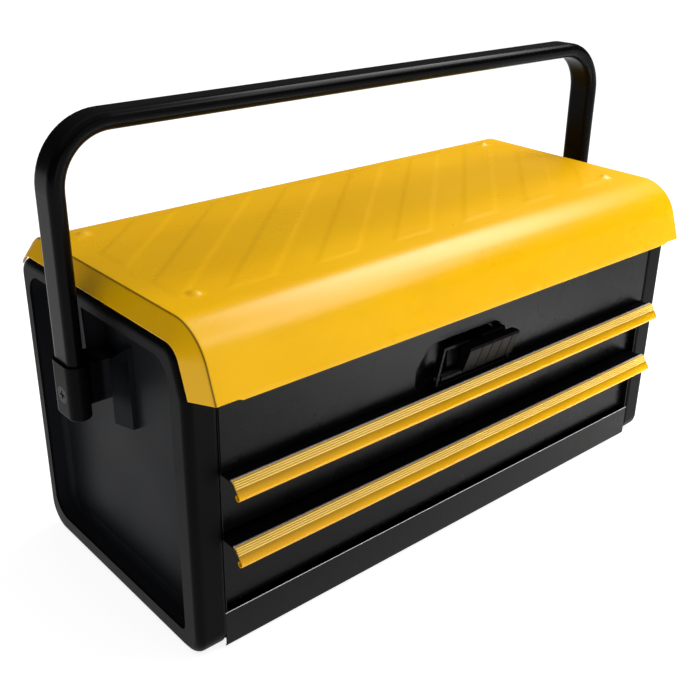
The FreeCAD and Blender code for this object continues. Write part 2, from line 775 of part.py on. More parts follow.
def make_lid_shell():
    body = new_body("lid_shell")
    none = as_size(0)
    outer_end = lid_section(none, True, none)
    outer_middle = lid_section(none, False, none)
    add(body, "x", -lid_half, lid_half, outer_middle)
    run = stripe_lean * (stripe_front + stripe_rear)
    bands = []
    for step_number in range(-6, 4):
        start = stripe_pitch * step_number + stripe_width * 0.7
        bands.append([
            (start, -stripe_front), (start + stripe_width, -stripe_front),
            (start + stripe_width + run, stripe_rear), (start + run, stripe_rear)])
    add(body, "z", lid_top, lid_top + emboss, *bands)
    for side in (-1, 1):
        edge = [side * hem_half, side * (hem_half + 8 * stripe_pitch)]
        left, right = edge if side > 0 else edge[::-1]
        cut(body, "z", lid_top, lid_top + 2 * emboss,
            rectangle(left, -stripe_front - 1, right, stripe_rear + 1))
    for side in (-1, 1):
        for place in (-dome_front, dome_rear):
            add_dome(body, side * dome_x, place)
    for side in (-1, 1):
        loft(body, "AdditiveLoft", [
            ("x", side * lid_half, outer_middle), ("x", side * lid_reach, outer_end)])
    below = as_size(5)
    inner_end = lid_section(gauge, True, below)
    inner_middle = lid_section(gauge, False, below)
    bevel_half = lid_half - gauge * 0.53
    bevel_reach = lid_reach - gauge * 0.53
    cut(body, "x", -bevel_half, bevel_half, inner_middle)
    for side in (-1, 1):
        loft(body, "SubtractiveLoft", [
            ("x", side * bevel_half, inner_middle), ("x", side * bevel_reach, inner_end)])
    cut(body, "x", -lid_reach - 1, -bevel_reach, inner_end)
    cut(body, "x", bevel_reach, lid_reach + 1, inner_end)
    lowest = lid_low - hinge_drop
    cut(body, "x", -lid_reach - 1, lid_reach + 1, [
        (-stripe_front, lowest), (lid_rear + 1, lowest), (lid_rear + 1, skirt_low),
        (lid_tail, skirt_low), (lid_tail, flange_low), (-stripe_front, flange_low)])
    for low, high in ((-lid_reach - 1, -lid_half), (lid_half, lid_reach + 1)):
        cut(body, "x", low, high, [
            (lid_tail, skirt_low - 1), (lid_rear + 1, skirt_low - 1),
            (lid_rear + 1, flange_low - flange_tail), (lid_tail, flange_low)])
    hem_head = lid_front_low - lid_slope * hem_height
    add(body, "x", -hem_half, hem_half, [
        (-hem_foot, lid_low - hem_drop), (-hem_foot + gauge * 2.1, lid_low - hem_drop),
        (-hem_head + gauge * 2.1, lid_low + hem_height), (-hem_head, lid_low + hem_height)])


make_lid_shell()


# Lid hinge: two leaves with interleaved knuckles on one pin
def knuckle(number):
    pitch = 2 * hinge_half / hinge_knuckles
    return pitch * number - hinge_half + knuckle_gap / 2, pitch * (number + 1) - hinge_half - knuckle_gap / 2


def make_leaf(label, first, plate_front, plate_rear, plate_low, plate_high, notch_low, notch_high):
    body = new_body(label)
    add(body, "y", plate_front, plate_rear, rectangle(-hinge_half, plate_low, hinge_half, plate_high))
    notches = []
    for number in range(hinge_knuckles):
        left, right = knuckle(number)
        if number % 2 == first:
            add(body, "x", left, right, (hinge_y, hinge_z, hinge_barrel))
        else:
            notches.append(rectangle(left - knuckle_gap, notch_low, right + knuckle_gap, notch_high))
    cut(body, "y", plate_front - 1, plate_rear + 1, *notches)
    cut(body, "x", -hinge_half, hinge_half, (hinge_y, hinge_z, hinge_pin_radius + pin_clearance))


make_leaf("hinge_leaf_body", 0, back_outer, leaf_face, hinge_z - hinge_leaf_drop, hinge_z,
          hinge_z - hinge_barrel - knuckle_gap, hinge_z + 1)
make_leaf("hinge_leaf_lid", 1, leaf_rear - gauge * 1.2, leaf_rear, hinge_z, hinge_z + hinge_leaf_rise,
          hinge_z - 1, hinge_z + hinge_barrel + knuckle_gap)


def make_group(label, pieces):
    group = doc.addObject("Part::Compound", label)
    group.Links = pieces
    return register(group, label)


make_group("hinge_pin", cylinder("hinge_pin_bar", "x", hinge_pin_radius, [(hinge_y, hinge_z)],
                                 -hinge_half, hinge_half))


def rivet_heads(label, axis, places, base, sign):
    # Low cones whose wide end sits on a face.
    heads = []
    for first, second in places:
        head = doc.addObject("Part::Cone", label + "_head")
        turns = {("y", 1): (Vector(1, 0, 0), -90), ("y", -1): (Vector(1, 0, 0), 90),
                 ("z", -1): (Vector(1, 0, 0), 180)}
        head.Placement.Rotation = FreeCAD.Rotation(*turns[(axis, sign)])
        head.setExpression("Radius1", rivet_radius.text)
        head.setExpression("Radius2", (rivet_radius * 0.6).text)
        head.setExpression("Height", rivet_height.text)
        where = {"x": first, "y": base, "z": second} if axis == "y" else {"x": first, "y": second, "z": base}
        where["y"] = where["y"] + case_shift
        for name, value in where.items():
            head.setExpression("Placement.Base." + name, as_size(value).text)
        heads.append(head)
    return make_group(label, heads)


body_row = [(hinge_half * place, hinge_z - hinge_leaf_drop * 0.65) for place in (-0.9, -0.45, 0, 0.45, 0.9)]
lid_row = [(hinge_half * place, hinge_z + hinge_leaf_rise * 0.68) for place in (-0.9, -0.45, 0, 0.45, 0.9)]
rivet_heads("hinge_rivets_body", "y", body_row, leaf_face, 1)
rivet_heads("hinge_rivets_lid", "y", lid_row, leaf_rear - gauge * 1.2, -1)


# Handle: a flat-oval tube bent to a U, in moulded sockets that turn on shoulder screws
def oval(thick, wide, corner):
    left = -handle_half - thick / 2
    right = -handle_half + thick / 2
    front = pivot_y - wide / 2
    rear = pivot_y + wide / 2
    return [(left, front, corner), (right, front, corner), (right, rear, corner), (left, rear, corner)]



def make_handle_tube():
    body = new_body("handle_tube")
    path = new_sketch(body, "XZ_Plane", -pivot_y, [[
        (-handle_half, tube_low), (-handle_half, handle_top, handle_bend),
        (handle_half, handle_top, handle_bend), (handle_half, tube_low)]], False)
    section = new_sketch(body, "XY_Plane", tube_low, [
        oval(tube_thick, tube_wide, tube_corner),
        oval(tube_thick - 2 * tube_wall, tube_wide - 2 * tube_wall, tube_corner - tube_wall)])
    pipe = body.newObject("PartDesign::AdditivePipe", "handle_tube_pipe")
    pipe.Profile = section
    pipe.Spine = path
    body.Tip = pipe
    cut(body, "x", -socket_outer, socket_outer, (pivot_y, pivot_z, screw_shank + head_play))


make_handle_tube()


def make_socket(label):
    body = new_body(label)
    add(body, "z", socket_low, socket_high,
        oval(tube_thick + 2 * socket_wall, tube_wide + 2 * socket_wall, tube_corner + socket_wall))
    rounded(body, socket_wall, lambda edge: touches(edge, "z", socket_low.value))
    cut(body, "z", tube_low, socket_high,
        oval(tube_thick + 2 * socket_play, tube_wide + 2 * socket_play, tube_corner + socket_play))
    cut(body, "x", -socket_outer, -socket_inner, (pivot_y, pivot_z, screw_shank + pin_clearance))
    cut(body, "x", -socket_outer, -socket_outer + screw_head_height + head_play,
        (pivot_y, pivot_z, screw_head + head_play))
    return body


mirrored("handle_socket_right", make_socket("handle_socket_left"))


def cross(y, z):
    # Outline of a cross recess, one arm after another.
    arm = cross_reach
    half = cross_width / 2
    return [
        (y + arm, z - half), (y + arm, z + half), (y + half, z + half), (y + half, z + arm),
        (y - half, z + arm), (y - half, z + half), (y - arm, z + half), (y - arm, z - half),
        (y - half, z - half), (y - half, z - arm), (y + half, z - arm), (y + half, z - half)]


def make_pivot_screw(label):
    body = new_body(label)
    add(body, "x", -socket_outer, -recess_x - 1, (pivot_y, pivot_z, screw_shank))
    add(body, "x", -socket_outer, -socket_outer + screw_head_height, (pivot_y, pivot_z, screw_head))
    cut(body, "x", -socket_outer, -socket_outer + cross_depth, cross(pivot_y, pivot_z))
    return body


mirrored("pivot_screw_right", make_pivot_screw("pivot_screw_left"))

# Latch: a frame in the pressed well, a sprung lever on a pin and a strike on the lid


def latch_cheek(height):
    # Half width inside the frame at a height above its foot.
    return latch_half - latch_frame - (latch_half - latch_top_half) * height / latch_height


def make_latch_base():
    body = new_body("latch_base")
    inner_low = latch_low + latch_foot
    inner_top = latch_top - latch_frame
    low_half = latch_cheek(latch_foot)
    top_half = latch_cheek(latch_height - latch_frame)
    add(body, "y", -latch_front, -sheet_front, [
        (-latch_half, latch_low), (latch_half, latch_low),
        (latch_top_half, latch_top), (-latch_top_half, latch_top)])
    cut(body, "y", -latch_front, -sheet_front, [
        (-low_half, inner_low), (low_half, inner_low), (top_half, inner_top), (-top_half, inner_top)])
    add(body, "y", -sheet_front, -well_face,
        rectangle(-latch_seat_half, latch_seat_low, latch_seat_half, latch_top))
    cut(body, "y", -latch_front, -well_face,
        rectangle(-hook_slot_half, latch_seat_low - 1, hook_slot_half, latch_top + 1))
    cut(body, "x", -latch_half, latch_half, (-latch_pin_y, latch_pin_z, latch_pin_radius + pin_clearance))


make_latch_base()
pin_reach = latch_half - (latch_half - latch_top_half) * (latch_pin_z - latch_low) / latch_height - lever_play
make_group("latch_pin", cylinder("latch_pin_bar", "x", latch_pin_radius, [(-latch_pin_y, latch_pin_z)],
                                 -pin_reach, pin_reach))


def make_latch_lever():
    body = new_body("latch_lever")
    y = -latch_pin_y
    z = latch_pin_z
    barrel_half = latch_cheek(latch_pin_z + lever_barrel * 1.2 - latch_low) - lever_play
    foot_y = y - lever_barrel
    foot_z = z - lever_barrel * 0.3
    tip_y = y - lever_reach
    tip_z = z + lever_rise
    add(body, "x", -barrel_half, barrel_half, (y, z, lever_barrel))
    add(body, "x", -lever_left, lever_right, [
        (y - lever_back, z + lever_barrel * 0.9), (foot_y, foot_z),
        (tip_y, tip_z - lever_tip), (tip_y + lever_tip / 3, tip_z), (y - lever_back, tip_z)])
    # The plate is wider than the frame only in front of it.
    cut(body, "y", -latch_front - lever_play, -well_face, [
        (latch_cheek(latch_foot) - lever_play, latch_low + latch_foot),
        (lever_right + 1, latch_low + latch_foot), (lever_right + 1, latch_top),
        (latch_cheek(latch_height) - lever_play, latch_top)])
    hook_top = hook_low + hook_thick
    lip_slope = strike_back / strike_lip
    add(body, "x", -hook_half, hook_half, [
        (y - lever_barrel * 0.5, z), (y + lever_barrel * 0.9, z),
        (y + lever_barrel * 0.6 + hook_arm, hook_low),
        (-strike_y + lip_slope * (strike_bend - hook_low) - hook_gap, hook_low),
        (-strike_y + lip_slope * (strike_bend - hook_top) - hook_gap, hook_top),
        (y + lever_barrel * 0.6, hook_top)])
    cut(body, "x", -barrel_half, barrel_half, (y, z, latch_pin_radius + pin_clearance))
    run = foot_y - tip_y
    rise = tip_z - lever_tip - foot_z
    grooves = []
    for number in range(4):
        left = -lever_left + lever_groove_pitch * (number + 1.2)
        grooves.append(rectangle(left, 0, left + lever_groove, rise * 2))
    sketch = new_sketch(body, "XZ_Plane", -foot_y, grooves)
    sketch.AttachmentOffset = FreeCAD.Placement(
        Vector(0, foot_z.value, -foot_y.value),
        FreeCAD.Rotation(Vector(1, 0, 0), math.degrees(math.atan2(run.value, rise.value))))
    sketch.setExpression("AttachmentOffset.Base.y", foot_z.text)
    sketch.setExpression("AttachmentOffset.Rotation.Angle", "atan(%s / %s)" % (run.text, rise.text))
    pocket = body.newObject("PartDesign::Pocket", "latch_lever_grooves")
    pocket.Profile = sketch
    pocket.setExpression("Length", lever_groove_depth.text)
    body.Tip = pocket


make_latch_lever()


def make_latch_spring():
    body = new_body("latch_spring")
    foot_high = latch_top - latch_frame - 2
    bend = latch_seat_low + 5
    tip_y = -latch_pin_y + 2 * spring_gauge
    tip_z = latch_pin_z + lever_barrel + 2 * spring_gauge
    add(body, "x", spring_left, spring_right, [
        (-sheet_front, foot_high), (-sheet_front - spring_gauge, foot_high),
        (-sheet_front - spring_gauge, bend), (tip_y, tip_z),
        (tip_y + spring_gauge, tip_z - spring_gauge / 2), (-sheet_front, bend - spring_gauge)])


make_latch_spring()


def make_latch_strike():
    body = new_body("latch_strike")
    top = lid_top - gauge
    add(body, "x", -strike_half, strike_half, [
        (-strike_y + strike_run, top), (-strike_y, top - strike_fall), (-strike_y, strike_bend),
        (-strike_y + strike_back, strike_bend - strike_lip),
        (-strike_y + strike_back + strike_gauge, strike_bend - strike_lip),
        (-strike_y + strike_gauge, strike_bend), (-strike_y + strike_gauge, top - strike_fall - strike_gauge),
        (-strike_y + strike_run, top - strike_gauge),
        (-strike_y + strike_run + strike_flange, top - strike_gauge),
        (-strike_y + strike_run + strike_flange, top)])


make_latch_strike()
rivet_heads("strike_rivets", "z", [(strike_half * side, -strike_y + strike_run + strike_flange / 2) for side in (-0.6, 0.6)],
            lid_top - gauge - strike_gauge, -1)

doc.recompute()
for piece in nodes:
    if "Invalid" in piece.State or "Error" in piece.State:
        raise RuntimeError(piece.Label + " did not compute")
    if piece.Shape.isNull() or not piece.Shape.isValid():
        raise RuntimeError(piece.Label + " has no valid shape")
os.makedirs("parts", exist_ok=True)
for piece in nodes:
    piece.Shape.exportStep("parts/%s.step" % piece.Label)
    print(piece.Label, len(piece.Shape.Solids), round(piece.Shape.Volume, 1))
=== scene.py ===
import json
import math

import bmesh
import bpy
import numpy as np
from mathutils import Matrix, Vector


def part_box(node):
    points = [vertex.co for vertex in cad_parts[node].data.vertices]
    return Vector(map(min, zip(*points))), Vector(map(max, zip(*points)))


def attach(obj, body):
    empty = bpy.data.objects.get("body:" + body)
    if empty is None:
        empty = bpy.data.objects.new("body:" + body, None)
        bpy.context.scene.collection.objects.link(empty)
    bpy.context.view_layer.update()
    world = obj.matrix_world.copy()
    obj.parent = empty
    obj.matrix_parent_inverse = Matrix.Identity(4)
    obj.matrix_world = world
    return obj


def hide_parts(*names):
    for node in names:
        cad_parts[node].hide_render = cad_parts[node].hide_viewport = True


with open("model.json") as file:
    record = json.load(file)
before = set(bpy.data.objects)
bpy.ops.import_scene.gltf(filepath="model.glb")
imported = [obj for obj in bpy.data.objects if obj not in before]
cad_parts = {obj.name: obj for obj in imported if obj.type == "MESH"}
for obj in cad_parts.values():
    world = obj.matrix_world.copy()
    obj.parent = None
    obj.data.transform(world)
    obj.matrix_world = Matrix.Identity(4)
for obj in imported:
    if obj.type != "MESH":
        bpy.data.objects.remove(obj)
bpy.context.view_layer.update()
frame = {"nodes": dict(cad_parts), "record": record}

nodes = frame["nodes"]
mm = 0.001
slack = 0.01  # millimetres by which two sizes may differ and still count as equal
tiny = 1e-9  # keeps a division clear of zero
creaseAngle = math.radians(35)
noiseSpan = (0.3, 0.7)  # most of a noise lies between these
white = "#FFFFFF"
print("frame loaded:", len(nodes), "nodes")


# sRGB hex to the linear RGBA that Blender's shaders take
def hexColour(text):
    values = [int(text[i:i + 2], 16) / 255 for i in (1, 3, 5)]
    return [v / 12.92 if v <= 0.04045 else ((v + 0.055) / 1.055) ** 2.4 for v in values] + [1]


# one node with its settings; an input that is a socket is linked, anything else is set
def addNode(tree, kind, inputs={}, **settings):
    node = tree.nodes.new(kind)
    for name, value in settings.items():
        setattr(node, name, value)
    for name, value in inputs.items():
        if isinstance(value, bpy.types.NodeSocket):
            tree.links.new(value, node.inputs[name])
        else:
            node.inputs[name].default_value = value
    return node


# noise repeats about once per unit, so a pattern of that many millimetres has this scale
def perMetre(millimetres):
    return 1000 / millimetres


def newMaterial(name):
    material = bpy.data.materials.new(name)
    material.use_nodes = True
    material.node_tree.nodes.clear()
    return material, material.node_tree


# the finish's deep and light colours at the two ends of a noise
def setTones(ramp, settings):
    for stop, place, tone in zip(ramp.color_ramp.elements, noiseSpan, ("deep", "light")):
        stop.position = place
        stop.color = hexColour(settings[tone])


# 0 below low, 1 above high, and 3 t^2 - 2 t^3 in between
def smoothStep(low, high, value):
    t = np.clip((value - low) / (high - low), 0, 1)
    return t * t * (3 - 2 * t)


# a smooth mesh, creased at its sharp edges, on its body and with its finish
def newPiece(name, points, faces, finish, body):
    mesh = bpy.data.meshes.new(name)
    mesh.from_pydata(points.tolist(), [], [list(face) for face in faces])
    mesh.polygons.foreach_set("use_smooth", np.ones(len(faces), bool))
    mesh.set_sharp_from_angle(angle=creaseAngle)
    mesh.materials.append(finish)
    piece = bpy.data.objects.new(name, mesh)
    bpy.context.scene.collection.objects.link(piece)
    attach(piece, body)
    return piece


# the four-sided faces of a grid of points that is numbered row by row
def gridFaces(rows, columns):
    index = np.arange(rows * columns).reshape(rows, columns)
    return np.stack([index[:-1, :-1], index[:-1, 1:], index[1:, 1:], index[1:, :-1]], -1)


# Polyester powder coat, sprayed and baked on sheet steel: an even satin film with a faint orange peel.
# The film's sizes are millimetres: how wide its colour drifts, how wide it was wiped, its peel and its rise.
# Real peel is about 1 mm across; it is drawn at 2.2 mm so that it shows at this image size.
# A finish's fold colour is painted shade darkened into a fold or groove, and its crest colour a painted
# highlight on the ridges; None leaves the colour plain.
coatSettings = {
    "film": {"drift": 140.0, "wipe": 45.0, "peel": 2.2, "rise": 0.4, "ior": 1.5},
    "lid": {"light": "#FFC400", "deep": "#FABB00", "rough": (0.26, 0.33), "peel": 0.04, "gloss": 0.32,
            "fold": "#5E4000", "crest": None},
    "rail": {"light": "#FABA00", "deep": "#F2B000", "rough": (0.20, 0.27), "peel": 0.02, "gloss": 0.3,
             "fold": "#B08010", "crest": "#FFDD72"},
    "black": {"light": "#0B0B0C", "deep": "#070708", "rough": (0.24, 0.32), "peel": 0.05, "gloss": 0.10,
              "fold": None, "crest": None},
    "tube": {"light": "#060607", "deep": "#040405", "rough": (0.20, 0.27), "peel": 0.03, "gloss": 0.06,
             "fold": None, "crest": None},
}


def powderCoat(name, settings):
    film = coatSettings["film"]
    material, tree = newMaterial(name)
    where = addNode(tree, "ShaderNodeTexCoord").outputs["Object"]
    drift = addNode(tree, "ShaderNodeTexNoise", {
        "Vector": where, "Scale": perMetre(film["drift"]), "Detail": 3.0})
    ramp = addNode(tree, "ShaderNodeValToRGB", {"Fac": drift.outputs["Fac"]})
    setTones(ramp, settings)
    colour = ramp.outputs["Color"]
    for part in ("fold", "crest"):  # painted shade in a fold, painted highlight on a crest
        if settings[part]:
            share = addNode(tree, "ShaderNodeAttribute", attribute_name=part)
            colour = addNode(tree, "ShaderNodeMix", {
                "Factor": share.outputs["Fac"], 6: colour, 7: hexColour(settings[part])},
                data_type="RGBA").outputs[2]
    wipe = addNode(tree, "ShaderNodeTexNoise", {
        "Vector": where, "Scale": perMetre(film["wipe"]), "Detail": 4.0})
    low, high = settings["rough"]
    rough = addNode(tree, "ShaderNodeMapRange", {
        "Value": wipe.outputs["Fac"], "From Min": noiseSpan[0], "From Max": noiseSpan[1],
        "To Min": low, "To Max": high})
    peel = addNode(tree, "ShaderNodeTexNoise", {
        "Vector": where, "Scale": perMetre(film["peel"]), "Detail": 1.0})
    bump = addNode(tree, "ShaderNodeBump", {
        "Height": peel.outputs["Fac"], "Strength": settings["peel"], "Distance": film["rise"] * mm})
    shader = addNode(tree, "ShaderNodeBsdfPrincipled", {
        "Base Color": colour, "Roughness": rough.outputs["Result"],
        "Normal": bump.outputs["Normal"], "IOR": film["ior"], "Specular IOR Level": settings["gloss"]})
    addNode(tree, "ShaderNodeOutputMaterial", {"Surface": shader.outputs["BSDF"]})
    return material


# Polypropylene, injection moulded in a spark-eroded tool: matt black with a fine even grain. The recessed end
# panel, which lies inside the rim's widths and short of its face, is painted a lighter grey than the proud
# rim:
# painted light in the recess. The grain is about 0.3 mm; it is drawn at 0.9 mm so that it shows.
capRim = {"front": 17.0, "rear": 12.0, "bottom": 15.0, "top": 11.0}
mouldSettings = {
    "skin": {"flow": 70.0, "rise": 0.3, "ior": 1.49},
    "cap": {"light": "#080808", "deep": "#050505", "rough": (0.34, 0.44), "grain": 0.9, "depth": 0.10,
            "gloss": 0.04, "panel": {"colour": "#1E1F22", "soft": 1.0, "face": (247.0, 249.6)}},
    "latch": {"light": "#0A0A0A", "deep": "#060606", "rough": (0.32, 0.42), "grain": 0.7, "depth": 0.06,
              "gloss": 0.06, "panel": None},
}


def mouldedPlastic(name, settings):
    skin = mouldSettings["skin"]
    material, tree = newMaterial(name)
    where = addNode(tree, "ShaderNodeTexCoord").outputs["Object"]
    flow = addNode(tree, "ShaderNodeTexNoise", {
        "Vector": where, "Scale": perMetre(skin["flow"]), "Detail": 3.0})
    ramp = addNode(tree, "ShaderNodeValToRGB", {"Fac": flow.outputs["Fac"]})
    setTones(ramp, settings)
    colour = ramp.outputs["Color"]
    # painted light: the recessed panel is drawn a lighter grey than the proud rim
    if settings["panel"]:
        panel = settings["panel"]
        capLow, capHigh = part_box("end_cap_left")
        place = addNode(tree, "ShaderNodeSeparateXYZ", {"Vector": where}).outputs
        edges = {"Y": (capLow[1] + capRim["front"] * mm, capHigh[1] - capRim["rear"] * mm),
                 "Z": (capLow[2] + capRim["bottom"] * mm, capHigh[2] - capRim["top"] * mm)}
        past = []
        for axis, (low, high) in edges.items():
            middle = addNode(tree, "ShaderNodeMath", {0: place[axis], 1: (low + high) / 2},
                             operation="SUBTRACT")
            away = addNode(tree, "ShaderNodeMath", {0: middle.outputs[0]}, operation="ABSOLUTE")
            over = addNode(tree, "ShaderNodeMath", {0: away.outputs[0], 1: (high - low) / 2},
                           operation="SUBTRACT")
            past.append(over.outputs[0])
        furthest = addNode(tree, "ShaderNodeMath", {0: past[0], 1: past[1]}, operation="MAXIMUM")
        within = addNode(tree, "ShaderNodeMapRange", {
            "Value": furthest.outputs[0], "From Min": 0.0, "From Max": panel["soft"] * mm,
            "To Min": 1.0, "To Max": 0.0})
        out = addNode(tree, "ShaderNodeMath", {0: place["X"]}, operation="ABSOLUTE")
        face, proud = panel["face"]
        sunk = addNode(tree, "ShaderNodeMapRange", {
            "Value": out.outputs[0], "From Min": face * mm, "From Max": proud * mm,
            "To Min": 1.0, "To Max": 0.0})
        inner = addNode(tree, "ShaderNodeMath", {0: within.outputs[0], 1: sunk.outputs[0]},
                        operation="MULTIPLY")
        colour = addNode(tree, "ShaderNodeMix", {
            "Factor": inner.outputs[0], 6: colour, 7: hexColour(panel["colour"])},
            data_type="RGBA").outputs[2]
    low, high = settings["rough"]
    rough = addNode(tree, "ShaderNodeMapRange", {
        "Value": flow.outputs["Fac"], "From Min": noiseSpan[0], "From Max": noiseSpan[1],
        "To Min": low, "To Max": high})
    grain = addNode(tree, "ShaderNodeTexVoronoi", {"Vector": where, "Scale": perMetre(settings["grain"])},
                    feature="SMOOTH_F1")
    bump = addNode(tree, "ShaderNodeBump", {
        "Height": grain.outputs["Distance"], "Strength": settings["depth"], "Distance": skin["rise"] * mm})
    shader = addNode(tree, "ShaderNodeBsdfPrincipled", {
        "Base Color": colour, "Roughness": rough.outputs["Result"],
        "Normal": bump.outputs["Normal"], "IOR": skin["ior"], "Specular IOR Level": settings["gloss"]})
    addNode(tree, "ShaderNodeOutputMaterial", {"Surface": shader.outputs["BSDF"]})
    return material


# Zinc plate on pressed and turned steel: pale bluish metal with a cloudy spangle of a few millimetres.
zincSettings = {
    "bright": {"light": "#C9CCCF", "deep": "#A9ADB2", "rough": (0.28, 0.44), "cloud": 6.0},
    "black": {"light": "#0C0C0D", "deep": "#060607", "rough": (0.38, 0.50), "cloud": 3.0},
    # the strip's pale matt zinc, on the rail clips and the apron's edge, is a painted highlight along those
    # edges
    "strip": {"light": "#DCDEE0", "deep": "#C6C9CC", "rough": (0.50, 0.62), "cloud": 5.0},
}


def zincPlate(name, settings):
    material, tree = newMaterial(name)
    where = addNode(tree, "ShaderNodeTexCoord").outputs["Object"]
    cloud = addNode(tree, "ShaderNodeTexNoise", {
        "Vector": where, "Scale": perMetre(settings["cloud"]), "Detail": 4.0})
    ramp = addNode(tree, "ShaderNodeValToRGB", {"Fac": cloud.outputs["Fac"]})
    setTones(ramp, settings)
    low, high = settings["rough"]
    rough = addNode(tree, "ShaderNodeMapRange", {
        "Value": cloud.outputs["Fac"], "From Min": noiseSpan[0], "From Max": noiseSpan[1],
        "To Min": low, "To Max": high})
    shader = addNode(tree, "ShaderNodeBsdfPrincipled", {
        "Base Color": ramp.outputs["Color"], "Roughness": rough.outputs["Result"], "Metallic": 1.0})
    addNode(tree, "ShaderNodeOutputMaterial", {"Surface": shader.outputs["BSDF"]})
    return material


finishes = {
    "yellow_paint": powderCoat("yellow powder coat, sprayed", coatSettings["lid"]),
    "yellow_pull": powderCoat("yellow rail enamel, sprayed", coatSettings["rail"]),
    "black_paint": powderCoat("black powder coat, sprayed", coatSettings["black"]),
    "tube_paint": powderCoat("black tube enamel, sprayed", coatSettings["tube"]),
    "black_moulding": mouldedPlastic("black polypropylene, moulded", mouldSettings["cap"]),
    "latch_moulding": mouldedPlastic("black nylon, moulded", mouldSettings["latch"]),
    "black_screw": zincPlate("black zinc on steel", zincSettings["black"]),
    "zinc_steel": zincPlate("bright zinc on steel", zincSettings["bright"]),
    "clip_steel": zincPlate("matt zinc on rolled steel", zincSettings["strip"]),
}
for row in frame["record"]["subparts"]:
    mesh = nodes[row["node"]].data
    mesh.materials.clear()
    mesh.materials.append(finishes[row["material_slot"]])
print("finishes on:", ", ".join(finishes))

# Lid skin, one pressed sheet. Its section runs from the front hem up a leaning wall, round a bend, over the
# flat top, round the rear bend and down a short skirt: lines and arcs, with n = (-sin a, cos a) the normal.
# Along x the section keeps its shape out to the fold, then runs straight to a lower, shorter end section:
# S(x, v) = (1 - f) * middle(v) + f * end(v), f = 0 inside the fold and 1 at the lid's end.
# relief(x, y) raises leaning stripes and four domes with soft edges, and sinks a fine line along the fold.
# The rows go along the section (shares of a length, or degrees of the rear bend) and the columns along x.
lidSettings = {
    "fold": 239.4, "reach": 248.5, "shift": 7.529, "gauge": 0.8, "fade": 8,
    "middle": {"low": 199.5, "frontLow": 126.3, "frontTop": 110.4, "top": 244.7, "bend": 35.0,
               "rear": 110.5, "rearBend": 21.0, "skirt": 208.9},
    "end": {"low": 199.5, "frontLow": 109.6, "frontTop": 98.45, "top": 231.2, "bend": 14.0,
            "rear": 107.0, "rearBend": 12.0, "skirt": 208.9},
    "hem": {"half": 222.0, "drop": 1.3, "soft": 1.0, "lean": 0.33},
    "stripes": {"pitch": 72.0, "width": 36.0, "first": 25.2, "lean": 1.07, "front": -71.0, "rear": 84.0,
                "height": 0.55, "soft": 2.6},
    "domes": {"x": 212.0, "front": -65.0, "rear": 78.5, "radius": 6.5, "height": 2.1, "crown": 0.25},
    "line": {"depth": 0.35, "width": 0.45},
    "rows": {"hem": (0, 0.02), "wallFrom": 0.06, "wall": 12, "bend": 20, "top": 96, "rear": 15,
             "rearTo": 70, "tail": (75, 80, 85, 90), "skirt": 6, "skirtTo": 0.94},
    "columns": {"step": 1.9, "clear": 2.6, "near": (0.25, 0.5, 0.8, 1.2, 2.0), "flare": 4.5,
                "end": (1.2, 0.3, 0)},
}


# a and b turn through the front and rear bends; t, u and d run along the wall, the top and the skirt
def lidSection(s, rows):
    lean = math.atan2(s["frontLow"] - s["frontTop"], s["top"] - s["low"])
    turn = math.pi / 2 - lean
    reach = s["bend"] * math.tan(turn / 2)
    bendY, bendZ = -s["frontTop"] + reach, s["top"] - s["bend"]
    rearY, rearZ = s["rear"] - s["rearBend"], s["top"] - s["rearBend"]
    a = np.linspace(turn, 0, rows["bend"])
    kept = rows["rear"] - len(rows["tail"])
    b = -np.radians(np.concatenate([np.linspace(0, rows["rearTo"], kept), rows["tail"]]))
    t = np.concatenate([rows["hem"], np.linspace(rows["wallFrom"], 1, rows["wall"])])[:-1]
    wallY = -s["frontLow"] + t * (bendY - s["bend"] * math.sin(turn) + s["frontLow"])
    wallZ = s["low"] + t * (bendZ + s["bend"] * math.cos(turn) - s["low"])
    u = np.linspace(0, 1, rows["top"])[1:-1]
    d = np.concatenate([np.linspace(0, rows["skirtTo"], rows["skirt"])[1:], [1]])
    y = np.concatenate([wallY, bendY - s["bend"] * np.sin(a), bendY + u * (rearY - bendY),
                        rearY - s["rearBend"] * np.sin(b), np.full(d.shape, s["rear"])])
    z = np.concatenate([wallZ, bendZ + s["bend"] * np.cos(a), np.full(u.shape, s["top"]),
                        rearZ + s["rearBend"] * np.cos(b), rearZ + d * (s["skirt"] - rearZ)])
    angle = np.concatenate([np.full(t.shape, turn), a, np.zeros(u.shape), b,
                            np.full(d.shape, -math.pi / 2)])
    tailRow = t.size + a.size + u.size + kept - 1  # the last row that the flared ends keep
    return np.stack([y, z, -np.sin(angle), np.cos(angle)]), tailRow


